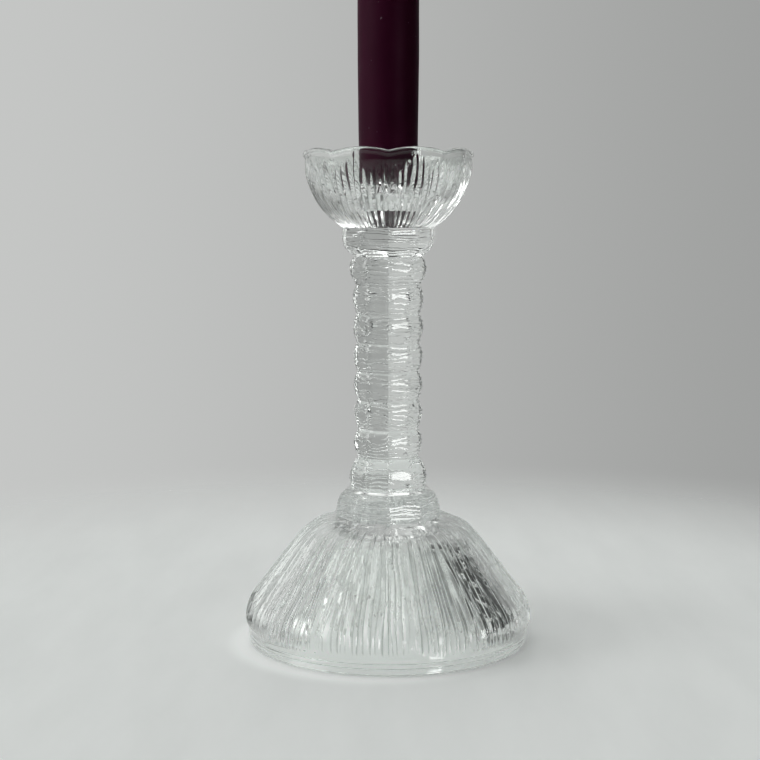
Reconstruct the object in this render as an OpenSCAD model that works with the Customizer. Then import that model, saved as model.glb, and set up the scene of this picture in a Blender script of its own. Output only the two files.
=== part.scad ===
// Pressed-glass candlestick holding one dinner candle.
// Foot, stem and drip bowl are one pressing: a hollow domed foot, a nine-sided stem
// of stacked rings and a scalloped bowl with a candle socket in its floor.
// The origin is the centre of the foot's resting ring, +Z is up, and one mould seam
// runs up the front (-Y). All sizes are in millimetres.

/* [Foot] */
// Radius of the foot at its widest ring
foot_r = 53; // [50:0.5:60]
// Height of the widest ring above the table
foot_wide_z = 8.7; // [8:0.1:10]
// Height of the foot's flat top, where the stem starts
foot_top_z = 46; // [44:0.5:50]
// Radius of the round between the flat top and the flank
shoulder_round = 17; // [14:0.5:18]
// Radius of the round between the flank and the widest ring
skirt_round = 14.8; // [12:0.1:16]
// Distance from the widest ring in to the ring that touches the table
rest_inset = 3; // [2.3:0.1:3.3]
// Thickness of the glass around the hollow
foot_wall = 6; // [4:0.5:8]

/* [Stem] */
// Number of flat sides
stem_sides = 9; // [6:1:12]
// Number of equal rings between the flared ring and the collar
ring_count = 7; // [4:1:9]
// Height of each ring
ring_pitch = 10.5; // [8:0.5:12]
// Corner radius of the top ring at its fullest
ring_top_r = 13.8; // [13:0.1:14.5]
// Corner radius of the bottom ring at its fullest
ring_low_r = 13.1; // [12.5:0.1:14]
// Depth of the groove between two rings
groove_depth = 1.5; // [0.4:0.1:1.6]
// Height of the flared ring above the bell
flare_h = 11.9; // [8:0.1:14]
// Height of the bell-shaped skirt that stands on the foot
bell_h = 10.7; // [8:0.1:14]
// Corner radius of the bell where it meets the foot
bell_r = 19.8; // [18:0.1:20]

/* [Collar and bowl] */
// Corner radius of the collar under the bowl
collar_r = 17.2; // [16:0.1:18]
// Height of the collar's straight upper band
collar_h = 5.4; // [4:0.1:7]
// Height of the collar's tapered lower band
collar_taper_h = 5; // [4:0.1:7]
// Outer radius of the bowl at its lip
bowl_r = 31; // [29:0.5:36]
// Height of the bowl from the collar to the middle of the lip
bowl_h = 27.5; // [26:0.5:30]
// Thickness of the bowl's wall at the lip
lip_wall = 2.8; // [2:0.1:3.5]
// Number of scallops round the lip
scallops = 9; // [6:1:14]
// Height of a scallop's crown above the notch beside it
scallop_rise = 1.3; // [0.5:0.1:2.5]
// Radius of the candle socket in the bowl's floor
socket_r = 10.9; // [10.8:0.05:11.2]
// Depth of the socket below the bowl's floor
socket_depth = 10; // [8:0.5:14]

/* [Candle] */
// Radius of the candle above its tapered base
candle_r = 11.1; // [10.9:0.05:11.4]
// Radius of the candle at its base
candle_base_r = 10.45; // [10:0.05:10.5]
// Length of the candle without its wick
candle_h = 190; // [100:5:250]
// Radius of the braided wick
wick_r = 0.9; // [0.6:0.1:1.5]
// Length of bare wick above the tip
wick_bare_h = 9; // [4:1:15]

/* [Hidden] */
$fn = 96;
// Straight pieces in a long curve, in a small round and down one ring of the stem
arc_steps = 10;
round_steps = 4;
ring_steps = 6;
// How far one solid reaches into the next, or a cut past a face
overlap = 1;

// Foot: the side below the widest ring steps in to a smooth band, then rounds under
band_z = 7;
band_step = 0.7;
rest_round = 1.6;
rest_r = foot_r - rest_inset;
// The hollow widens by this much towards the table
hollow_draft = 0.4;
// Centres of the two rounds of the outline, and the angle of the flank's normal
shoulder_c = [19.8, foot_top_z - shoulder_round];
edge_c = [foot_r - skirt_round, foot_wide_z];
c_gap = edge_c - shoulder_c;
flank_normal = atan2(c_gap[1], c_gap[0]) + acos((shoulder_round - skirt_round) / norm(c_gap));

// Stem: a ring is fullest above its middle, the more so the smaller this exponent
ring_skew = 0.85;
// The first ring starts wider than the others and bulges less than the collar above it
first_ring_r = ring_top_r - groove_depth + 0.8;
first_ring_bulge = groove_depth + 0.6;
// The flared ring grows by flare_spread from its top to the bell below it
flare_spread = 2.6;
flare_bulge = 1.8;
// The larger this exponent, the squarer the bell's shoulder and the steeper its sides
bell_square = 2.4;

// Collar: a slightly crowned band, and the taper that starts a small step inside it
collar_crown = 0.4;
collar_draft = 0.1;
collar_step = 0.3;

// Heights up the candlestick
rings_z = foot_top_z + bell_h + flare_h;
collar_z = rings_z + ring_count * ring_pitch;
bowl_z = collar_z + collar_taper_h + collar_h;
lip_z = bowl_z + bowl_h;
crown_z = lip_z + scallop_rise / 2;
socket_floor_z = bowl_z - 0.5;
socket_mouth_z = socket_floor_z + socket_depth;

// Bowl: outside and inside are quarter ellipses that end where the lip's round starts
lip_round = lip_wall / 2;
wall_top_z = crown_z - lip_round;
bowl_foot_r = collar_r - collar_draft;
hollow_r = bowl_r - lip_wall;
mouth_r = socket_r + 0.4;

// Candle: chamfer at the base, taper up to the full radius, and the cone of the tip
base_chamfer = 0.8;
base_taper_h = 60;
tip_h = 11;
tip_r = 3.2;
tip_round = 1;

function arc(c, r, a0, a1, n = arc_steps) =
    [for (i = [0:n]) let (a = a0 + (a1 - a0) * i / n) c + r * [cos(a), sin(a)]];

// Shoulder round, straight flank and edge round, all set in by the same distance
function foot_curve(inset) = concat(
    arc(shoulder_c, shoulder_round - inset, 90, flank_normal),
    arc(edge_c, skirt_round - inset, flank_normal, 0));

// One ring of the stem from its top down: from radius a to radius b, with a bulge between
function ring(z, h, a, b, bulge) =
    [for (i = [0:ring_steps - 1]) let (t = i / ring_steps)
        [a + (b - a) * t + bulge * sin(180 * pow(t, ring_skew)), z - h * t]];

// Quarter ellipse from (r0, z0) out and up to (r1, z1), upright at its outer end
function bowl_curve(r0, z0, r1, z1) =
    let (drop = (z1 - z0) / sqrt(1 - pow(r0 / r1, 2)))
        [for (i = [0:arc_steps]) let (r = r0 + (r1 - r0) * sin(90 * i / arc_steps))
            [r, z1 - drop * sqrt(max(0, 1 - pow(r / r1, 2)))]];

// Corner radius in the groove under ring i; the last one is also the flared ring's top
function groove_radius(i) =
    let (k = min(i, ring_count - 1) / (ring_count - 1))
        ring_top_r + (ring_low_r - ring_top_r) * k - groove_depth;

function collar_taper() =
    let (spread = collar_r - collar_step - first_ring_r)
        [for (i = [0:ring_steps - 1]) let (t = i / ring_steps)
            [first_ring_r + spread * cos(90 * t), collar_z + collar_taper_h * (1 - t)]];

function bell_curve() =
    let (top_r = groove_radius(ring_count) + flare_spread)
        [for (i = [0:ring_steps]) let (t = i / ring_steps)
            [top_r + (bell_r - top_r) * pow(1 - pow(1 - t, bell_square), 1 / bell_square),
             foot_top_z + bell_h * (1 - t)]];

// Corner line of the whole stem, from the bowl down to the foot
function stem_line() =
    let (low_r = groove_radius(ring_count))
        concat(
            ring(bowl_z, collar_h, collar_r, collar_r - collar_draft, collar_crown),
            collar_taper(),
            ring(collar_z, ring_pitch, first_ring_r, groove_radius(1), first_ring_bulge),
            [for (i = [1:ring_count - 1])
                each ring(collar_z - i * ring_pitch, ring_pitch,
                          groove_radius(i), groove_radius(i + 1), groove_depth)],
            ring(rings_z, flare_h, low_r, low_r + flare_spread, flare_bulge),
            bell_curve());

module foot_outside() {
    rotate_extrude()
        polygon(concat(
            [[0, foot_top_z]],
            foot_curve(0),
            [[foot_r - band_step, band_z]],
            arc([rest_r, rest_round], rest_round, 0, -90, round_steps),
            [[0, 0]]));
}

module foot_hollow() {
    rotate_extrude()
        polygon(concat(
            [[0, foot_top_z - foot_wall]],
            foot_curve(foot_wall),
            [[foot_r - foot_wall + hollow_draft, -overlap], [0, -overlap]]));
}

// A corner between two flat sides stands on the mould seam at the front
module stem() {
    core_z = foot_top_z - overlap;
    rotate([0, 0, -90])
        rotate_extrude(angle = 360, $fn = stem_sides)
            polygon(concat([[0, bowl_z]], stem_line(), [[bell_r, core_z], [0, core_z]]));
}

module bowl_outside() {
    core_z = bowl_z - overlap;
    rotate_extrude()
        polygon(concat(
            [[0, core_z], [bowl_foot_r - overlap, core_z]],
            bowl_curve(bowl_foot_r, bowl_z, bowl_r, wall_top_z),
            arc([bowl_r - lip_round, wall_top_z], lip_round, 0, 90, round_steps),
            [[0, crown_z]]));
}

module bowl_hollow() {
    lip_middle_r = hollow_r + lip_round;
    rotate_extrude()
        polygon(concat(
            [[0, socket_mouth_z - overlap], [socket_r, socket_mouth_z - overlap]],
            bowl_curve(mouth_r, socket_mouth_z, hollow_r, wall_top_z),
            arc([lip_middle_r, wall_top_z], lip_round, 180, 90, round_steps),
            [[lip_middle_r, crown_z + overlap], [0, crown_z + overlap]]));
}

module socket_bore() {
    translate([0, 0, socket_floor_z])
        cylinder(r = socket_r, h = socket_depth);
}

// What is cut away at one notch of the lip, between the middles of two round crowns
module scallop_notch() {
    half_w = bowl_r * sin(180 / scallops);
    crown_round = (pow(half_w, 2) + pow(scallop_rise, 2)) / (2 * scallop_rise);
    crown_drop = crown_z - crown_round;
    right = [for (i = [0:round_steps]) let (x = half_w * i / round_steps)
        [x, crown_drop + sqrt(pow(crown_round, 2) - pow(half_w - x, 2))]];
    left = [for (i = [round_steps:-1:1]) [-right[i][0], right[i][1]]];
    top_z = crown_z + overlap;
    rotate([90, 0, 0])
        linear_extrude(height = bowl_r + overlap)
            polygon(concat(left, right, [[half_w, top_z], [-half_w, top_z]]));
}

module glass_body() {
    color([0.84, 0.89, 0.86, 0.6])
        difference() {
            union() {
                foot_outside();
                stem();
                bowl_outside();
            }
            foot_hollow();
            bowl_hollow();
            socket_bore();
            for (i = [0:scallops - 1])
                rotate([0, 0, i * 360 / scallops])
                    scallop_notch();
        }
}

module candle_wax() {
    body_h = candle_h - tip_h;
    color([0.2, 0.06, 0.13])
        translate([0, 0, socket_floor_z])
            difference() {
                rotate_extrude()
                    polygon([
                        [0, 0],
                        [candle_base_r - base_chamfer, 0],
                        [candle_base_r, base_chamfer],
                        [candle_r, base_taper_h],
                        [candle_r, body_h],
                        [candle_r - tip_round / 2, body_h + tip_round],
                        [tip_r + tip_round, candle_h - tip_round],
                        [tip_r, candle_h],
                        [0, candle_h]]);
                translate([0, 0, -overlap])
                    cylinder(r = wick_r, h = candle_h + 2 * overlap);
            }
}

module candle_wick() {
    color([0.93, 0.9, 0.82])
        translate([0, 0, socket_floor_z])
            cylinder(r = wick_r, h = candle_h + wick_bare_h);
}

glass_body();
candle_wax();
candle_wick();
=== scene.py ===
"""Looks of the glass candlestick: ribbed pressed glass, a dipped candle and its twisted wick."""

import math

import bpy
import numpy as np
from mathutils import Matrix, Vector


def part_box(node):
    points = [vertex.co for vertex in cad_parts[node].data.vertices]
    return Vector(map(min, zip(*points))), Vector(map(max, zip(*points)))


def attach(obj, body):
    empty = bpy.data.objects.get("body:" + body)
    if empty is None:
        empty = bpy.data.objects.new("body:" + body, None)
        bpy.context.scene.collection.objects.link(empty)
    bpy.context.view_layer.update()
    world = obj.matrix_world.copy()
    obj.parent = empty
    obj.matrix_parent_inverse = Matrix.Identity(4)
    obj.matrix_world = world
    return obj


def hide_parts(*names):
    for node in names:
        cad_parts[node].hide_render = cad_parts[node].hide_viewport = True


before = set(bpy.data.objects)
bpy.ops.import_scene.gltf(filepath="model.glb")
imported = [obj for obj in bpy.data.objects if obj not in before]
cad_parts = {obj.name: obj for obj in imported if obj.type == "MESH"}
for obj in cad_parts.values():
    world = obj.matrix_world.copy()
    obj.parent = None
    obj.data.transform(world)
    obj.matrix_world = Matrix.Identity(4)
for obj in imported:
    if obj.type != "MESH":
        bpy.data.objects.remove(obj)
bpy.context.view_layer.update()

MM = 0.001
glass_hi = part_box("glass_body")[1]
wax_lo, wax_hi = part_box("candle_wax")
wick_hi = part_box("candle_wick")[1]

# ---------------------------------------------------------------- sizes, in millimetres

# Taken from the CAD's boxes
FOOT_R = glass_hi.x / MM
CROWN_Z = glass_hi.z / MM
SOCKET_FLOOR_Z = wax_lo.z / MM

# Foot: a hollow dome on a thin band, which ends in a rounded resting ring
FOOT_WIDE_Z = 8.7
FOOT_TOP_Z = 46.0
SHOULDER_ROUND = 17.0
SKIRT_ROUND = 14.8
FOOT_WALL = 6.0
HOLLOW_DRAFT = 0.4
BAND_Z = 7.0
BAND_STEP = 0.7
BAND_GROOVES = (4.4, 2.7)
BAND_GROOVE_H = 0.22
# Rings of points across one of the band's grooves, counted from its middle
GROOVE_EDGES = (0.45, 0.15, -0.15, -0.45)
REST_R = FOOT_R - 3.0
REST_ROUND = 1.6

# Stem: a bell, a flared ring and seven rings, all nine-sided
SIDES = 9
RING_COUNT = 7
RING_PITCH = 10.5
RING_TOP_R = 13.8
RING_LOW_R = 13.1
RING_SKEW = 0.85
GROOVE = 1.5
FLARE_H = 11.9
FLARE_SPREAD = 2.6
FLARE_BULGE = 1.8
BELL_H = 10.7
BELL_R = 19.8
BELL_SQUARE = 2.4

# Collar: a crowned band, and a taper that starts a small step inside it. The CAD's step is 0.3,
# which would draw a dark line across the glass.
COLLAR_R = 17.2
COLLAR_DRAFT = 0.1
COLLAR_H = 5.4
COLLAR_TAPER_H = 5.0
COLLAR_CROWN = 0.4
COLLAR_STEP = 0.14
FIRST_RING_R = RING_TOP_R - GROOVE + 0.8
FIRST_RING_BULGE = GROOVE + 0.6

# Bowl: scalloped lip, with the candle's socket in its floor. The scallops bend the wall down to
# LIP_BLEND below its top, and the ribs begin PLAIN_LIP below it.
BOWL_R = 31.0
LIP_WALL = 2.8
LIP_ROUND = LIP_WALL / 2
SCALLOPS = 9
SCALLOP_RISE = 1.3
LIP_BLEND = 6.0
PLAIN_LIP = 1.5
SOCKET_R = 10.9
SOCKET_DEPTH = 10.0
MOUTH_R = SOCKET_R + 0.4

# Heights up the candlestick
RINGS_Z = FOOT_TOP_Z + BELL_H + FLARE_H
COLLAR_Z = RINGS_Z + RING_COUNT * RING_PITCH
BOWL_Z = COLLAR_Z + COLLAR_TAPER_H + COLLAR_H
WALL_TOP_Z = CROWN_Z - LIP_ROUND
SOCKET_MOUTH_Z = SOCKET_FLOOR_Z + SOCKET_DEPTH

# Candle: taper of its base, cone of its tip, and how far its surface wavers
CANDLE_R = wax_hi.x / MM
CANDLE_BASE_R = 10.45
BASE_CHAMFER = 0.8
BASE_TAPER_H = 60.0
CANDLE_TOP_Z = wax_hi.z / MM
TIP_H = 11.0
TIP_R = 3.2
TIP_EDGE = 0.9
WAX_SWELL = 0.018

# Wick: three plies twisted round each other inside the bore's radius
WICK_R = 0.9
WICK_TOP_Z = wick_hi.z / MM
PLY_R = 0.42
PLY_OFFSET = 0.45
PLY_PITCH = 5.0
PLIES = 3
PLY_POINTS = 10
PLY_STEP = 0.45

# Colour that the glass gives to light passing its surface, and the darker colour painted into its
# grooves as shade
GLASS_TINT = (0.965, 0.985, 0.972)
PAINTED_GROOVE_SHADE = (0.30, 0.33, 0.31)

# Heights of the pressed ribs, whose crests reach the CAD's outline, and of the mould seams
FOOT_RIB_H = 0.6
BOWL_RIB_H = 0.65
STEM_RIB_H = 0.32
SEAM_H = 0.16
# How far the rounding of the stem's corners reaches on each side
CORNER_TURN = math.radians(6)

# Points round the glass where it has no ribs
ROUND_SMOOTH = 144

# ---------------------------------------------------------------- floor, light and camera values

# Floor, in metres: its radius, and where it starts fading into the backdrop and is gone
FLOOR_R = 0.5
FLOOR_FADE = (0.16, 0.42)
# Glow painted on the floor for the light that the glass throws on it: strength under the foot and
# elsewhere, and its edge
GLOW_UNDER = 0.24
FLOOR_GLOW = 0.10
GLOW_CENTRE = (-0.004, -0.004, 0.0)
GLOW_EDGE = (0.048, 0.0585)

# The world is laid out by azimuth, which is the turn in radians from straight behind the object
# to the right, and by z, the sine of the height above the horizon. Each pair says where a light
# starts and where it is full, and each four where it starts, is full, starts to fade and is gone.
# The wall's strength changes from left to right over WALL_TURN.
WALL_LEFT = 0.57
WALL_RIGHT = 0.34
WALL_TURN = (-0.3, 0.35)
FLOOR_LIGHT = 0.66
FLOOR_EDGE = (-0.22, -0.5)
TOP_LIGHT = 1.2
TOP_EDGE = (0.8, 0.95)
# The dark room, to the right of the object and behind the camera
ROOM_LIGHT = 0.03
ROOM_RIGHT = (0.7, 0.95)
ROOM_LEFT = (-2.2, -2.6)
ROOM_RISE = (0.3, 0.8)
WINDOW_LIGHT = 3.5
WINDOW_ACROSS = (-2.25, -2.1, -1.6, -1.5)
WINDOW_TALL = (-0.02, 0.34, 0.42, 0.62)
# Two soft boxes that show in reflections only: high on the left, and low on the right in front
STRIP_LIGHT = 4.0
STRIP_ACROSS = (-2.2, -2.1, -1.72, -1.62)
STRIP_TALL = (0.42, 0.48, 0.82, 0.88)
BOX_LIGHT = 10.0
BOX_ACROSS = (2.33, 2.37, 2.51, 2.55)
BOX_TALL = (-0.18, -0.14, 0.28, 0.34)

# Camera, in metres and degrees
CAMERA_HEIGHT = 0.1581
CAMERA_AWAY = 0.5608
CAMERA_LEFT = 0.003
CAMERA_PITCH = 6.25
CAMERA_LENS = 72.64

# ---------------------------------------------------------------- small helpers


def smooth(edge0, edge1, x):
    """0 below edge0, 1 above edge1, smooth between."""
    t = np.clip((x - edge0) / (edge1 - edge0), 0, 1)
    return t * t * (3 - 2 * t)


def even_angles(n):
    """n angles round the axis, the first at the front."""
    return -math.pi / 2 + 2 * math.pi * np.arange(n) / n


def arc(centre, radius, a0, a1, steps):
    """Points (r, z) on an arc between two angles in degrees."""
    a = np.radians(np.linspace(a0, a1, steps + 1))
    return np.stack([centre[0] + radius * np.cos(a), centre[1] + radius * np.sin(a)], 1)


def resample(line, spacing):
    """The polyline at even steps of about the given spacing."""
    line = np.asarray(line, float)
    run = np.concatenate([[0], np.cumsum(np.linalg.norm(np.diff(line, axis=0), axis=1))])
    at = np.linspace(0, run[-1], max(2, round(run[-1] / spacing) + 1))
    return np.stack([np.interp(at, run, line[:, i]) for i in (0, 1)], 1)


def normals(line):
    """Unit normals of an outline (r, z) walked downwards, pointing away from the axis."""
    d = np.gradient(np.asarray(line, float), axis=0)
    n = np.stack([-d[:, 1], d[:, 0]], 1)
    return n / np.linalg.norm(n, axis=1)[:, None]


# ---------------------------------------------------------------- the ribs that run up and down


class UprightRibs:
    """Narrow ribs that run down the glass, in slots round the axis.

    The place s runs from 0 at the top to 1 at the bottom. A slot may be shared by several
    ribs: one starts near the top, the others lower down, and each pushes the rest aside as it
    starts. Some ribs pause once on their way down."""

    # Its slot opens over this stretch of s round its start, from this share of its full width
    OPENING = (-0.15, 0.1)
    NARROW = 0.25
    PAUSE_LENGTH = 0.04
    PAUSE_DEPTH = 0.85
    # Share of the width that is raised where a rib begins, and how much its full size adds
    RAISED = (0.3, 0.6)

    def __init__(self, seed, slots, shares, top, split, grow, breaks, sway, full_width, height):
        rng = np.random.default_rng(seed)
        ribs = slots * shares
        share = 1 + 0.3 * rng.uniform(-1, 1, slots)
        self.knots = np.concatenate([[0], np.cumsum(share)]) / share.sum() * 2 * math.pi
        self.shares = shares
        self.start = np.empty((slots, shares))
        self.start[:, 0] = rng.uniform(top[0], top[1], slots)
        for k in range(1, shares):
            self.start[:, k] = rng.uniform(split[0], split[1], slots)
        self.start = rng.permuted(self.start, axis=1).ravel()
        self.grow = rng.uniform(grow[0], grow[1], ribs)
        self.weight = rng.uniform(0.7, 1.3, ribs)
        self.pause = np.where(rng.random(ribs) < breaks, rng.uniform(0.2, 0.95, ribs), 9.0)
        self.phase = rng.uniform(0, 2 * math.pi, (3, ribs))
        self.lean = rng.uniform(-0.35, 0.35, ribs)
        # How much shade is painted into the grooves beside each rib
        self.painted_shade = rng.uniform(0.2, 1, ribs)
        self.sway, self.full_width, self.height = sway, full_width, height

    def ring(self, s, radius):
        """Angles from the front, heights of the ribs and how much of the glass's tint is kept, at one
        place.

        Every rib has the same six points in every ring, so that its edges stay crisp. The
        glass keeps its tint on the ribs, and has shade painted into the grooves between them,
        where the kept tint goes down to 0."""
        opened = self.NARROW + (1 - self.NARROW) * smooth(*self.OPENING, s - self.start)
        w = self.weight * opened * (1 + 0.15 * np.sin(9 * s + self.phase[0]))
        slots = w.reshape(-1, self.shares)
        parts = slots / slots.sum(1, keepdims=True) * np.diff(self.knots)[:, None]
        edges = np.concatenate([[0], np.cumsum(parts)])
        mean = 2 * math.pi / len(w)
        shift = np.sin(4 * s + self.phase[1]) + 0.6 * np.sin(10 * s + self.phase[2])
        edges[1:-1] += self.sway * mean * shift[1:]
        width = np.diff(edges)
        grown = np.clip((s - self.start) / self.grow, 0, 1) ** 0.7
        held = 1 - self.PAUSE_DEPTH * np.exp(-(((s - self.pause) / self.PAUSE_LENGTH) ** 2))
        size = grown * held
        half = self.RAISED[0] + self.RAISED[1] * size
        tall = self.height * np.clip(width * radius / self.full_width, 0, 1) * size
        zero = np.zeros_like(half)
        left, right = (self.lean - 1) * 0.5 * half, (self.lean + 1) * 0.5 * half
        across = np.stack([zero - 1, -half, left, self.lean * half, right, half], 1)
        crest = np.stack([zero, zero, 0.6 * tall, tall, 0.6 * tall, zero], 1)
        turn = (edges[:-1] + width / 2)[:, None] + across * width[:, None] / 2
        # Painted shade: the glass is darker in the grooves the more the rib has grown
        groove = 1 - size * self.painted_shade
        clear = np.stack([groove, groove, zero + 1, zero + 1, zero + 1, groove], 1)
        return turn.ravel(), crest.ravel(), clear.ravel()


# ---------------------------------------------------------------- the ribs that lie across a facet


class FacetRibs:
    """Thin wavy ribs, one above another, that cross the flat sides of one ring of the stem.

    They meet at the corners, wander in between, and some fade out part of the way across."""

    # Down one rib: place, height of the crest, and how much shade is painted on the glass
    PROFILE = ((0.0, 0.0, 0.0), (0.33, 0.05, 1.0), (0.5, 1.0, 0.0), (0.67, 0.05, 1.0))
    WANDER = 0.03

    def __init__(self, rng, ribs, height):
        self.ribs, self.height = ribs, height
        self.corner = self.places(rng)
        self.middle = self.places(rng)
        self.wave = rng.uniform(0, 2 * math.pi, (2, SIDES))
        self.reach = rng.uniform(-1.3, 1.3, (SIDES, ribs))
        self.side = rng.choice([-1, 1, 0, 0], (SIDES, ribs))
        self.size = rng.uniform(0.45, 1.0, (SIDES, ribs))
        # How much shade is painted into the grooves of each rib
        self.painted_shade = rng.uniform(0, 1, (SIDES, ribs)) ** 1.5

    def places(self, rng):
        """Edges of the ribs as shares of the ring's height, on every side."""
        share = rng.uniform(0.65, 1.35, (SIDES, self.ribs))
        edges = np.cumsum(share, axis=1) / share.sum(1, keepdims=True)
        return np.concatenate([np.zeros((SIDES, 1)), edges], axis=1)

    def edge(self, k, facet, u):
        left, right = self.corner[facet, k], self.corner[(facet + 1) % SIDES, k]
        ends = left + (right - left) * (u + 1) / 2
        wave = np.sin(2.6 * u + self.wave[0, facet] + k) + 0.5 * np.sin(7 * u + self.wave[1, facet])
        wander = self.WANDER * wave if 0 < k < self.ribs else 0
        inner = 1 - np.abs(u) ** 3
        return ends + (self.middle[facet, k] - ends) * inner + wander * inner

    def rows(self, facet, u):
        """Rows of places t from 0 at the top to 1 at the bottom, of heights and of how much of
        the glass's tint is kept, lower where shade is painted, for every column."""
        for k in range(self.ribs):
            top, bottom = self.edge(k, facet, u), self.edge(k + 1, facet, u)
            fade = smooth(-0.35, 0.35, (self.reach[facet, k] - u) * self.side[facet, k])
            size = self.size[facet, k] * np.where(self.side[facet, k] == 0, 1, fade)
            size = size * (0.65 + 0.35 * u**2)
            # The topmost rib, next to the ring above, gets no painted shade
            painted_shade = size * self.painted_shade[facet, k] * (k > 0)
            for place, crest, groove in self.PROFILE:
                yield top + (bottom - top) * place, self.height * crest * size, 1 - groove * painted_shade


# ---------------------------------------------------------------- a closed mesh made of rings


class Rings:
    """Rings of points, one after another, joined into one closed mesh."""

    def __init__(self):
        self.rings = []
        self.clear = []

    def add(self, angles, r, z, clear=1.0):
        """One more ring. Clear says how much of the glass's tint is kept, from 1 down to 0 in a groove,
        where shade is painted.
        """
        self.clear.append(np.broadcast_to(np.asarray(clear, float), angles.shape))
        r = np.broadcast_to(np.asarray(r, float), angles.shape)
        z = np.broadcast_to(np.asarray(z, float), angles.shape)
        self.rings.append((angles, np.stack([r * np.cos(angles), r * np.sin(angles), z], 1)))

    def faces_between(self, a, b, base_a, base_b):
        """Quads between rings with the same points, or a zip of triangles between others."""
        na, nb = len(a), len(b)
        if na == nb:
            i = np.arange(na)
            j = (i + 1) % na
            return np.stack([base_a + i, base_b + i, base_b + j, base_a + j], 1).tolist()
        faces, i, j = [], 0, 0
        turn_a = np.append(a, a[0] + 2 * math.pi)
        turn_b = np.append(b, b[0] + 2 * math.pi)
        while i < na or j < nb:
            if j >= nb or (i < na and turn_a[i + 1] + turn_a[i] <= turn_b[j + 1] + turn_b[j]):
                faces.append((base_a + i, base_b + j % nb, base_a + (i + 1) % na))
                i += 1
            else:
                faces.append((base_a + i % na, base_b + j, base_b + (j + 1) % nb))
                j += 1
        return faces

    def build_loop(self, name):
        """A tube whose last ring joins the first one again, all with the same points."""
        n, count = len(self.rings[0][0]), len(self.rings)
        faces = []
        for k in range(count):
            a, b = self.rings[k][0], self.rings[(k + 1) % count][0]
            faces += self.faces_between(a, b, k * n, (k + 1) % count * n)
        mesh = bpy.data.meshes.new(name)
        points = np.concatenate([p for _, p in self.rings])
        mesh.from_pydata((points * MM).tolist(), [], faces)
        mesh.update()
        return mesh

    def build(self, name, start_z, end_z):
        """A mesh closed at both ends by a fan from a point on the axis."""
        points = [np.array([[0, 0, start_z]])] + [p for _, p in self.rings]
        points.append(np.array([[0, 0, end_z]]))
        bases = np.cumsum([0] + [len(p) for p in points])
        faces = []
        n = len(self.rings[0][0])
        faces += [(0, 1 + i, 1 + (i + 1) % n) for i in range(n)]
        for k in range(len(self.rings) - 1):
            faces += self.faces_between(
                self.rings[k][0], self.rings[k + 1][0], int(bases[k + 1]), int(bases[k + 2])
            )
        n = len(self.rings[-1][0])
        last, base = int(bases[-2]), int(bases[-3])
        faces += [(last, base + (i + 1) % n, base + i) for i in range(n)]
        mesh = bpy.data.meshes.new(name)
        mesh.from_pydata((np.concatenate(points) * MM).tolist(), [], faces)
        mesh.update()
        # The clear attribute takes the grooves' painted shade to the glass's material
        clear = mesh.attributes.new("clear", "FLOAT", "POINT")
        clear.data.foreach_set("value", np.concatenate([[1.0], *self.clear, [1.0]]))
        return mesh


def shade(mesh, sharp_degrees):
    """Smooth shading, with edges that turn by more than the given angle kept sharp."""
    mesh.shade_smooth()
    mesh.set_sharp_from_angle(angle=math.radians(sharp_degrees))


def new_object(name, mesh, material):
    mesh.materials.append(material)
    ob = bpy.data.objects.new(name, mesh)
    bpy.context.scene.collection.objects.link(ob)
    return ob


# ---------------------------------------------------------------- outlines of the glass

# Centres of the two rounds of the foot's outline, and the angle of the flank's normal
SHOULDER_C = np.array([BELL_R, FOOT_TOP_Z - SHOULDER_ROUND])
EDGE_C = np.array([FOOT_R - SKIRT_ROUND, FOOT_WIDE_Z])
C_GAP = EDGE_C - SHOULDER_C
FLANK = math.degrees(
    math.atan2(C_GAP[1], C_GAP[0])
    + math.acos((SHOULDER_ROUND - SKIRT_ROUND) / np.linalg.norm(C_GAP))
)


def foot_curve(inset):
    """Shoulder round, straight flank and edge round, all set in by the same distance."""
    shoulder = arc(SHOULDER_C, SHOULDER_ROUND - inset, 90, FLANK, 24)
    edge = arc(EDGE_C, SKIRT_ROUND - inset, FLANK, 0, 24)
    return np.concatenate([shoulder, edge])


def bowl_curve(r0, z0, r1, z1, steps):
    """Quarter ellipse from (r0, z0) out and up to (r1, z1), upright at its outer end."""
    drop = (z1 - z0) / math.sqrt(1 - (r0 / r1) ** 2)
    r = r0 + (r1 - r0) * np.sin(np.linspace(0, math.pi / 2, steps + 1))
    return np.stack([r, z1 - drop * np.sqrt(np.clip(1 - (r / r1) ** 2, 0, 1))], 1)


def groove_radius(i):
    share = min(i, RING_COUNT - 1) / (RING_COUNT - 1)
    return RING_TOP_R + (RING_LOW_R - RING_TOP_R) * share - GROOVE


def bulged(a, b, bulge):
    """Corner radius down one ring of the stem, fullest above its middle."""
    return lambda t: a + (b - a) * t + bulge * np.sin(math.pi * t**RING_SKEW)


def bell_side(a, b):
    """Corner radius down the bell, from a to b: level at its top and upright at its foot."""
    return lambda t: a + (b - a) * (1 - (1 - t) ** BELL_SQUARE) ** (1 / BELL_SQUARE)


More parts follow.
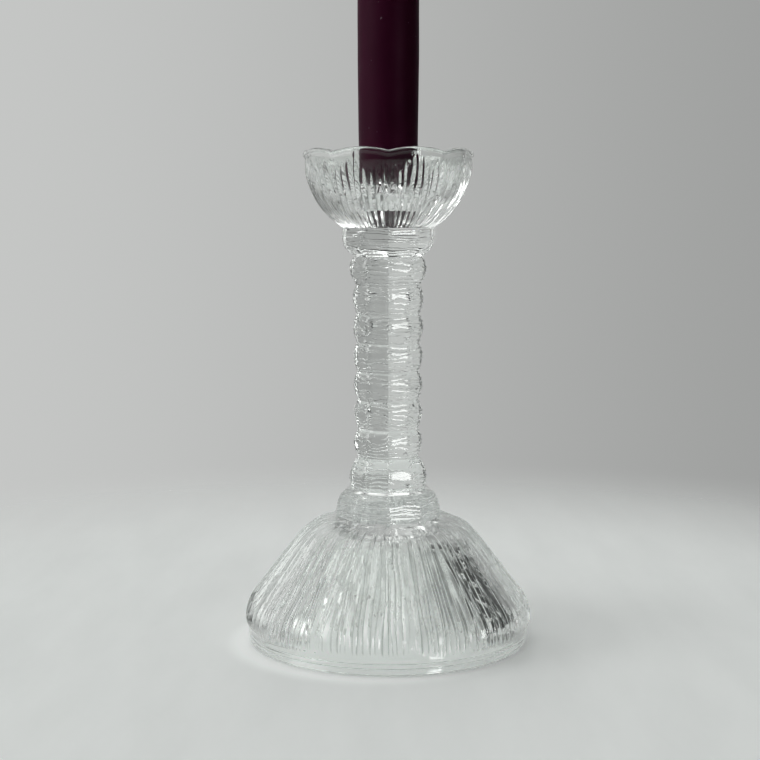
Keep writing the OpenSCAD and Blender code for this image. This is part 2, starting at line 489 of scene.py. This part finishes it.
def stem_parts():
    """The stem from its top down: height, radius over t from 0 to 1, ribs, rib height, rounding."""
    low_r = groove_radius(RING_COUNT)
    spread = COLLAR_R - COLLAR_STEP - FIRST_RING_R
    rib = STEM_RIB_H
    yield COLLAR_H, bulged(COLLAR_R, COLLAR_R - COLLAR_DRAFT, COLLAR_CROWN), 6, 0.6 * rib, 0.9
    yield COLLAR_TAPER_H, lambda t: FIRST_RING_R + spread * np.cos(math.pi / 2 * t), 5, 0.6 * rib, 0.9
    yield RING_PITCH, bulged(FIRST_RING_R, groove_radius(1), FIRST_RING_BULGE), 7, rib, 1.0
    for i in range(1, RING_COUNT):
        yield RING_PITCH, bulged(groove_radius(i), groove_radius(i + 1), GROOVE), 7, rib, 1.0
    yield FLARE_H, bulged(low_r, low_r + FLARE_SPREAD, FLARE_BULGE), 8, rib, 0.8
    yield BELL_H, bell_side(low_r + FLARE_SPREAD, BELL_R), 9, 0.7 * rib, 0.3


def stem_angles():
    """Points on every facet, close together near its corners, and on the corners."""
    on_facet = (1.2, 3, 5, 7, 9, 13, 20, 27, 31, 33, 35, 37, 38.8)
    spots = [360 / SIDES * side + a for side in range(SIDES) for a in (0, *on_facet)]
    return np.radians(np.array(spots)) - math.pi / 2


def nine_sided(off, rounding):
    """Radius of the rounded nine-sided shape, over that of its sharp corners."""
    half = math.pi / SIDES
    turn = CORNER_TURN * rounding
    to_corner = np.clip((np.abs(off) - half + turn) / turn, 0, 1)
    return math.cos(half) / np.cos(off) - turn * math.tan(half) / 2 * to_corner**2


def lip_drop(turn):
    """How far the lip lies below its crowns, at an angle counted from the front notch."""
    pitch = 2 * math.pi / SCALLOPS
    off = (turn + pitch / 2) % pitch - pitch / 2
    half = BOWL_R * math.sin(pitch / 2)
    crown = (half**2 + SCALLOP_RISE**2) / (2 * SCALLOP_RISE)
    x = half - BOWL_R * np.abs(np.sin(off))
    return crown - np.sqrt(crown**2 - x**2)


# ---------------------------------------------------------------- the glass, zone by zone


def lay_socket(rings):
    angles = even_angles(ROUND_SMOOTH)
    for r in (4.0, 8.0, SOCKET_R - 0.5):
        rings.add(angles, r, SOCKET_FLOOR_Z)
    rings.add(angles, SOCKET_R - 0.15, SOCKET_FLOOR_Z + 0.15)
    for z in np.linspace(SOCKET_FLOOR_Z + 0.5, SOCKET_MOUTH_Z - 0.4, 5):
        rings.add(angles, SOCKET_R, z)


def lay_bowl_inside(rings):
    angles = even_angles(ROUND_SMOOTH)
    turn = angles + math.pi / 2
    line = bowl_curve(MOUTH_R, SOCKET_MOUTH_Z, BOWL_R - LIP_WALL, WALL_TOP_Z, 60)
    for r, z in resample(line, 1.7)[:-1]:
        share = smooth(WALL_TOP_Z - LIP_BLEND, WALL_TOP_Z, z)
        rings.add(angles, r, z - share * lip_drop(turn))


def lay_lip(rings):
    angles = even_angles(ROUND_SMOOTH * 2)
    turn = angles + math.pi / 2
    for r, z in arc((BOWL_R - LIP_ROUND, WALL_TOP_Z), LIP_ROUND, 180, 0, 10):
        rings.add(angles, r, z - lip_drop(turn))


def lay_bowl_outside(rings):
    ribs = UprightRibs(
        seed=31, slots=72, shares=1, top=(-0.05, 0.22), split=(0, 0), grow=(0.1, 0.4),
        breaks=0.0, sway=0.1, full_width=2.2, height=BOWL_RIB_H,
    )
    line = bowl_curve(COLLAR_R - COLLAR_DRAFT, BOWL_Z, BOWL_R, WALL_TOP_Z, 90)[::-1]
    line = resample(line, 1.0)
    out = normals(line)
    top = WALL_TOP_Z - PLAIN_LIP
    for (r, z), n in zip(line[1:], out[1:]):
        s = (top - z) / (top - BOWL_Z)
        turn, h, clear = ribs.ring(s, r)
        h = h - BOWL_RIB_H * smooth(-0.14, 0.02, s)
        share = smooth(WALL_TOP_Z - LIP_BLEND, WALL_TOP_Z, z)
        z = z + n[1] * h - share * lip_drop(turn)
        rings.add(turn - math.pi / 2, r + n[0] * h, z, clear)


def lay_stem(rings):
    rng = np.random.default_rng(9)
    angles = stem_angles()
    turn = angles + math.pi / 2
    facet_turn = 2 * math.pi / SIDES
    facet = np.clip(((turn + 1e-6) // facet_turn).astype(int), 0, SIDES - 1)
    off = turn - (facet + 0.5) * facet_turn
    u = np.tan(off) / math.tan(facet_turn / 2)
    on_seam = np.isclose(turn % (3 * facet_turn), 0, atol=1e-4)
    z_top = BOWL_Z
    for tall, radius, count, height, rounding in stem_parts():
        flat = nine_sided(off, rounding)
        ribs = FacetRibs(rng, count, height)
        for t, h, clear in ribs.rows(facet, u):
            h = h - height + SEAM_H * on_seam
            rings.add(angles, radius(t) * flat + h, z_top - tall * t, clear)
        z_top -= tall


def lay_foot_outside(rings):
    ribs = UprightRibs(
        seed=12, slots=58, shares=3, top=(-0.05, 0.05), split=(0.05, 0.6), grow=(0.03, 0.12),
        breaks=0.35, sway=0.24, full_width=2.0, height=FOOT_RIB_H,
    )
    line = foot_curve(0)
    line = np.concatenate([line, [[FOOT_R, FOOT_WIDE_Z]], [[FOOT_R - BAND_STEP, BAND_Z]]])
    line = resample(line, 1.85)
    out = normals(line)
    run = np.linspace(0, 1, len(line))
    for (r, z), n, s in zip(line, out, run):
        # The ribs start a little outside the bell, and sink into the glass above the band
        turn, h, clear = ribs.ring((s - 0.04) / 0.96, r)
        fade = 1 - smooth(0.965, 1.0, s)
        h = (h - FOOT_RIB_H) * fade
        # The grooves' painted shade fades out with the ribs
        rings.add(turn - math.pi / 2, r + n[0] * h, z + n[1] * h, 1 - (1 - clear) * fade)


def lay_band(rings):
    angles = even_angles(ROUND_SMOOTH * 2)
    top, bottom = FOOT_R - BAND_STEP - 0.15, REST_R + REST_ROUND
    top_z = BAND_Z - 0.5
    for z in (top_z, 5.6, *[g + edge for g in BAND_GROOVES for edge in GROOVE_EDGES]):
        share = (z - REST_ROUND) / (top_z - REST_ROUND)
        in_groove = any(abs(z - g) < 0.3 for g in BAND_GROOVES)
        rings.add(angles, bottom + (top - bottom) * share - BAND_GROOVE_H * in_groove, z)
    for r, z in arc((REST_R, REST_ROUND), REST_ROUND, 0, -90, 5):
        rings.add(angles, r, z)


def lay_foot_hollow(rings):
    angles = even_angles(ROUND_SMOOTH)
    inner = FOOT_R - FOOT_WALL
    rings.add(angles, inner + HOLLOW_DRAFT, 0.0)
    line = foot_curve(FOOT_WALL)[::-1]
    line = np.concatenate([[[inner + HOLLOW_DRAFT - 0.05, 0.6]], line])
    for r, z in resample(line, 2.2):
        rings.add(angles, r, z)
    for r in (15.0, 10.0, 5.0):
        rings.add(angles, r, FOOT_TOP_Z - FOOT_WALL)


def make_glass(material):
    rings = Rings()
    lay_socket(rings)
    lay_bowl_inside(rings)
    lay_lip(rings)
    lay_bowl_outside(rings)
    lay_stem(rings)
    lay_foot_outside(rings)
    lay_band(rings)
    lay_foot_hollow(rings)
    mesh = rings.build("pressed_glass", SOCKET_FLOOR_Z, FOOT_TOP_Z - FOOT_WALL)
    shade(mesh, sharp_degrees=33)
    glass = new_object("pressed_glass", mesh, material)
    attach(glass, "candlestick")
    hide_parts("glass_body")
    return glass


# ---------------------------------------------------------------- the candle and its wick


def candle_radius(z):
    """Radius of the candle's side: a chamfered base, a long taper and a round-nosed tip."""
    up = z - SOCKET_FLOOR_Z
    base = CANDLE_BASE_R - BASE_CHAMFER + np.minimum(up, BASE_CHAMFER)
    taper = (CANDLE_R - CANDLE_BASE_R) * np.clip((up - BASE_CHAMFER) / BASE_TAPER_H, 0, 1)
    into_tip = np.clip((z - (CANDLE_TOP_Z - TIP_H)) / TIP_H, 0, 1)
    nose = (CANDLE_R - TIP_R) * (0.75 * into_tip + 0.25 * into_tip**3)
    return base + taper - nose


def make_candle(material):
    """Dipped wax, never quite round: long soft waves, a rounded tip and a bore for the wick."""
    rng = np.random.default_rng(5)
    wave = rng.uniform(0, 2 * math.pi, 3)
    angles = even_angles(96)
    rings = Rings()
    low, high = SOCKET_FLOOR_Z, CANDLE_TOP_Z
    body = np.arange(low + 4, high - TIP_H, 2.5)
    tip = np.linspace(high - TIP_H, high - TIP_EDGE, 14)
    for z in (low, low + 0.4, low + BASE_CHAMFER, low + 2, *body, *tip):
        swell = np.sin(0.07 * z + wave[0] + 2 * angles) + np.sin(0.16 * z + wave[1] - angles)
        swell = swell + 0.6 * np.sin(0.31 * z + wave[2] + 3 * angles) - 2.6
        rings.add(angles, candle_radius(z) + WAX_SWELL * swell, z)
    edge = candle_radius(high - TIP_EDGE) - 0.15
    for a in np.radians((30, 55, 80)):
        rings.add(angles, edge - 0.9 * (1 - math.cos(a)), high - TIP_EDGE + 0.8 * math.sin(a))
    for r, drop in ((1.8, 0.1), (1.3, 0.06), (0.98, 0.0)):
        rings.add(angles, r, high - drop)
    for z in (high - 0.3, high - 1.5, high - 20, (low + high) / 2, low + 2, low):
        rings.add(angles, WICK_R, z)
    for r in (2.0, 5.0, 8.0):
        rings.add(angles, r, low)
    candle = new_object("dipped_candle", rings.build_loop("dipped_candle"), material)
    shade(candle.data, sharp_degrees=40)
    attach(candle, "candle")
    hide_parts("candle_wax")
    return candle


def ply_rings(ply):
    """Rings of points along one ply of the wick, twisted round the axis."""
    angles = even_angles(PLY_POINTS)
    top = WICK_TOP_Z - 0.25 * ply
    heights = np.concatenate([np.arange(SOCKET_FLOOR_Z, top - 0.5, PLY_STEP), [top - 0.45, top - 0.15]])
    for z in heights:
        twist = 2 * math.pi * (z / PLY_PITCH + ply / PLIES)
        r = PLY_R * (0.7 if z > top - 0.3 else 1) * (1 + 0.05 * math.sin(9 * z + ply))
        x = PLY_OFFSET * math.cos(twist) + r * np.cos(angles)
        y = PLY_OFFSET * math.sin(twist) + r * np.sin(angles)
        yield np.stack([x, y, np.full_like(x, z)], 1)


def make_wick(material):
    """Three plies of cotton twisted together, cut off square at the top."""
    points, faces, base = [], [], 0
    i = np.arange(PLY_POINTS)
    j = (i + 1) % PLY_POINTS
    for ply in range(PLIES):
        rings = list(ply_rings(ply))
        points += rings
        last = base + (len(rings) - 1) * PLY_POINTS
        for a in range(base, last, PLY_POINTS):
            b = a + PLY_POINTS
            faces += np.stack([a + i, a + j, b + j, b + i], 1).tolist()
        faces += [(base + i[::-1]).tolist(), (last + i).tolist()]
        base = last + PLY_POINTS
    mesh = bpy.data.meshes.new("cotton_wick")
    mesh.from_pydata((np.concatenate(points) * MM).tolist(), [], faces)
    mesh.update()
    wick = new_object("cotton_wick", mesh, material)
    shade(wick.data, sharp_degrees=50)
    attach(wick, "candle")
    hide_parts("candle_wick")
    return wick


# ---------------------------------------------------------------- materials


def node_material(name):
    mat = bpy.data.materials.new(name)
    mat.use_nodes = True
    nodes = mat.node_tree.nodes
    return mat, nodes, mat.node_tree.links, nodes["Principled BSDF"]


def noise_node(nodes, links, scale, detail, stretch=(1, 1, 1)):
    """Noise over the object's own space, stretched along its axes."""
    place = nodes.new("ShaderNodeTexCoord")
    mapping = nodes.new("ShaderNodeMapping")
    mapping.inputs["Scale"].default_value = stretch
    noise = nodes.new("ShaderNodeTexNoise")
    noise.inputs["Scale"].default_value = scale
    noise.inputs["Detail"].default_value = detail
    links.new(place.outputs["Object"], mapping.inputs["Vector"])
    links.new(mapping.outputs["Vector"], noise.inputs["Vector"])
    return noise.outputs["Fac"]


def ramp_node(nodes, links, value, stops):
    """Colours over a value, from a list of (position, colour)."""
    ramp = nodes.new("ShaderNodeValToRGB")
    elements = ramp.color_ramp.elements
    while len(elements) < len(stops):
        elements.new(0.5)
    for element, (position, colour) in zip(elements, stops):
        element.position = position
        element.color = (*colour, 1)
    links.new(value, ramp.inputs["Fac"])
    return ramp.outputs["Color"]


def range_node(nodes, links, value, start, end, low=0.0, high=1.0, kind="SMOOTHSTEP"):
    """Goes from low at start to high at end, and stays as it is beyond them."""
    node = nodes.new("ShaderNodeMapRange")
    node.interpolation_type = kind
    node.inputs["From Min"].default_value = start
    node.inputs["From Max"].default_value = end
    node.inputs["To Min"].default_value = low
    node.inputs["To Max"].default_value = high
    links.new(value, node.inputs["Value"])
    return node.outputs["Result"]


def distance_node(nodes, links, centre):
    """How far a point of the object is from a place in it, in metres."""
    place = nodes.new("ShaderNodeTexCoord")
    distance = nodes.new("ShaderNodeVectorMath")
    distance.operation = "DISTANCE"
    distance.inputs[1].default_value = centre
    links.new(place.outputs["Object"], distance.inputs[0])
    return distance.outputs["Value"]


def bump_node(nodes, links, shader, value, distance, strength=1.0):
    bump = nodes.new("ShaderNodeBump")
    bump.inputs["Strength"].default_value = strength
    bump.inputs["Distance"].default_value = distance
    links.new(value, bump.inputs["Height"])
    links.new(bump.outputs["Normal"], shader.inputs["Normal"])


def mix_colours(nodes, links, fac, a, b):
    mix = nodes.new("ShaderNodeMix")
    mix.data_type = "RGBA"
    for socket, value in ((mix.inputs[0], fac), (mix.inputs[6], a), (mix.inputs[7], b)):
        if isinstance(value, bpy.types.NodeSocket):
            links.new(value, socket)
        else:
            socket.default_value = value
    return mix.outputs[2]


def glass_material():
    """Clear glass with a faint grey-green tint, shade painted into the grooves, and a fine mould grain.
    """
    mat, nodes, links, shader = node_material("pressed_glass")
    # Painted shade: where the clear attribute is low, in the grooves, the glass's tint is darkened
    clear = nodes.new("ShaderNodeAttribute")
    clear.attribute_name = "clear"
    tint_and_painted_shade = ramp_node(nodes, links, clear.outputs["Fac"], [(0.0, PAINTED_GROOVE_SHADE), (0.8, GLASS_TINT)])
    links.new(tint_and_painted_shade, shader.inputs["Base Color"])
    shader.inputs["Roughness"].default_value = 0.012
    shader.inputs["IOR"].default_value = 1.51
    shader.inputs["Transmission Weight"].default_value = 1.0
    bump_node(nodes, links, shader, noise_node(nodes, links, 420, 3), 0.00012, 0.35)
    return mat


def wax_material():
    """Satin aubergine wax: cloudy depth of colour, rubbed patches and small pale nicks."""
    mat, nodes, links, shader = node_material("candle_wax")
    clouds = noise_node(nodes, links, 55, 4, (1, 1, 0.35))
    colour = ramp_node(
        nodes, links, clouds, [(0.3, (0.030, 0.0015, 0.012)), (0.7, (0.048, 0.0035, 0.020))]
    )
    specks = ramp_node(
        nodes, links, noise_node(nodes, links, 620, 1), [(0.76, (0, 0, 0)), (0.80, (1, 1, 1))]
    )
    colour = mix_colours(nodes, links, specks, colour, (0.13, 0.085, 0.105, 1))
    links.new(colour, shader.inputs["Base Color"])
    rubbed = ramp_node(
        nodes, links, noise_node(nodes, links, 90, 5), [(0.3, (0.46,) * 3), (0.7, (0.6,) * 3)]
    )
    links.new(rubbed, shader.inputs["Roughness"])
    shader.inputs["Specular IOR Level"].default_value = 0.06
    bump_node(nodes, links, shader, noise_node(nodes, links, 240, 5), 0.00012, 0.6)
    return mat


def wick_material():
    """Undyed cotton with fibres along the twist, soaked with dark wax where it leaves the candle."""
    mat, nodes, links, shader = node_material("cotton_wick")
    fibres = noise_node(nodes, links, 2600, 3, (1, 1, 0.25))
    cotton = ramp_node(
        nodes, links, fibres, [(0.3, (0.50, 0.42, 0.30)), (0.7, (0.86, 0.80, 0.66))]
    )
    place = nodes.new("ShaderNodeTexCoord")
    split = nodes.new("ShaderNodeSeparateXYZ")
    links.new(place.outputs["Object"], split.inputs[0])
    soaked_to, dry_from = (CANDLE_TOP_Z + 0.5) * MM, (CANDLE_TOP_Z + 3) * MM
    dry = range_node(nodes, links, split.outputs["Z"], soaked_to, dry_from, kind="LINEAR")
    colour = mix_colours(nodes, links, dry, (0.10, 0.035, 0.05, 1), cotton)
    links.new(colour, shader.inputs["Base Color"])
    shader.inputs["Roughness"].default_value = 0.85
    bump_node(nodes, links, shader, fibres, 0.00008)
    return mat


def floor_material():
    """Pale paint that fades out into the backdrop, with a glow painted on it for the light that the
    glass throws there.
    """
    mat, nodes, links, shader = node_material("floor")
    paint = ramp_node(
        nodes, links, noise_node(nodes, links, 38, 6, (1, 0.25, 1)),
        [(0.35, (0.755, 0.775, 0.765)), (0.65, (0.80, 0.82, 0.81))],
    )
    links.new(paint, shader.inputs["Base Color"])
    shader.inputs["Roughness"].default_value = 0.6
    shader.inputs["Emission Color"].default_value = (0.98, 1.0, 0.99, 1)
    # Painted light: a brighter glow under the foot, fading to a weaker one elsewhere
    from_glow = distance_node(nodes, links, GLOW_CENTRE)
    glow = range_node(nodes, links, from_glow, *GLOW_EDGE, GLOW_UNDER, FLOOR_GLOW)
    links.new(glow, shader.inputs["Emission Strength"])
    fade = range_node(nodes, links, distance_node(nodes, links, (0, 0, 0)), *FLOOR_FADE)
    clear = nodes.new("ShaderNodeBsdfTransparent")
    mix = nodes.new("ShaderNodeMixShader")
    links.new(fade, mix.inputs[0])
    links.new(shader.outputs[0], mix.inputs[1])
    links.new(clear.outputs[0], mix.inputs[2])
    links.new(mix.outputs[0], nodes["Material Output"].inputs["Surface"])
    return mat


# ---------------------------------------------------------------- stage, light and camera


def make_floor():
    bpy.ops.mesh.primitive_circle_add(vertices=128, radius=FLOOR_R, fill_type="NGON")
    floor = bpy.context.object
    floor.name = "floor"
    floor.data.materials.append(floor_material())


class SkyNodes:
    """Nodes that work out how much light comes from each direction."""

    def __init__(self, nodes, links):
        self.nodes, self.links = nodes, links
        place = nodes.new("ShaderNodeTexCoord")
        split = nodes.new("ShaderNodeSeparateXYZ")
        links.new(place.outputs["Generated"], split.inputs[0])
        x, y, self.z = split.outputs
        self.azimuth = self.math("ARCTAN2", x, y)
        self.ray = nodes.new("ShaderNodeLightPath").outputs

    def math(self, kind, a, b):
        node = self.nodes.new("ShaderNodeMath")
        node.operation = kind
        for socket, value in zip(node.inputs, (a, b)):
            if isinstance(value, (int, float)):
                socket.default_value = value
            else:
                self.links.new(value, socket)
        return node.outputs[0]

    def total(self, first, *others):
        for other in others:
            first = self.math("ADD", first, other)
        return first

    def ramp(self, value, edge, low=0.0, high=1.0):
        return range_node(self.nodes, self.links, value, *edge, low, high)

    def span(self, value, edges):
        """1 between the two inner edges, fading to 0 at the outer ones."""
        return self.math("MULTIPLY", self.ramp(value, edges[:2]), self.ramp(value, edges[:1:-1]))

    def pane(self, strength, across, tall):
        """An even patch of light with soft edges."""
        shape = self.math("MULTIPLY", self.span(self.azimuth, across), self.span(self.z, tall))
        return self.math("MULTIPLY", shape, strength)


def room_light(sky, wall):
    """The light on the glass: wall, dark room, window, ceiling and, for reflections, soft boxes."""
    right, left = sky.ramp(sky.azimuth, ROOM_RIGHT), sky.ramp(sky.azimuth, ROOM_LEFT)
    away = sky.math("MAXIMUM", right, left)
    near = sky.math("MULTIPLY", wall, sky.math("SUBTRACT", 1, away))
    room = sky.math("MULTIPLY", away, sky.ramp(sky.z, ROOM_RISE, ROOM_LIGHT, 3 * ROOM_LIGHT))
    window = sky.pane(WINDOW_LIGHT, WINDOW_ACROSS, WINDOW_TALL)
    above = sky.ramp(sky.z, TOP_EDGE, 0, TOP_LIGHT)
    strip = sky.pane(STRIP_LIGHT, STRIP_ACROSS, STRIP_TALL)
    box = sky.pane(BOX_LIGHT, BOX_ACROSS, BOX_TALL)
    boxes = sky.math("MULTIPLY", sky.total(strip, box), sky.ray["Is Glossy Ray"])
    return sky.total(near, room, window, above, boxes)


def make_world():
    """The room lights the glass, and the camera sees a plain backdrop in its place."""
    world = bpy.data.worlds.new("studio")
    bpy.context.scene.world = world
    world.use_nodes = True
    nodes, links = world.node_tree.nodes, world.node_tree.links
    sky = SkyNodes(nodes, links)
    wall = sky.ramp(sky.azimuth, WALL_TURN, WALL_LEFT, WALL_RIGHT)
    backdrop = sky.math("MAXIMUM", wall, sky.ramp(sky.z, FLOOR_EDGE, 0, FLOOR_LIGHT))
    mix = nodes.new("ShaderNodeMix")
    mix.data_type = "FLOAT"
    links.new(sky.ray["Is Camera Ray"], mix.inputs["Factor"])
    links.new(room_light(sky, wall), mix.inputs["A"])
    links.new(backdrop, mix.inputs["B"])
    background = nodes["Background"]
    background.inputs["Color"].default_value = (0.985, 1.0, 0.985, 1)
    links.new(mix.outputs["Result"], background.inputs["Strength"])


def make_camera():
    data = bpy.data.cameras.new("camera")
    data.sensor_width = 36
    data.lens = CAMERA_LENS
    cam = bpy.data.objects.new("camera", data)
    cam.location = (-CAMERA_LEFT, -CAMERA_AWAY, CAMERA_HEIGHT)
    cam.rotation_euler = (math.radians(90 - CAMERA_PITCH), 0, 0)
    bpy.context.scene.collection.objects.link(cam)
    bpy.context.scene.camera = cam


def set_look():
    scene = bpy.context.scene
    scene.view_settings.view_transform = "Standard"
    scene.view_settings.look = "None"
    scene.cycles.use_denoising = True
    scene.cycles.max_bounces = 20
    scene.cycles.transmission_bounces = 20
    scene.cycles.glossy_bounces = 8
    scene.cycles.diffuse_bounces = 4


make_glass(glass_material())
make_candle(wax_material())
make_wick(wick_material())
make_floor()
make_world()
make_camera()
set_look()
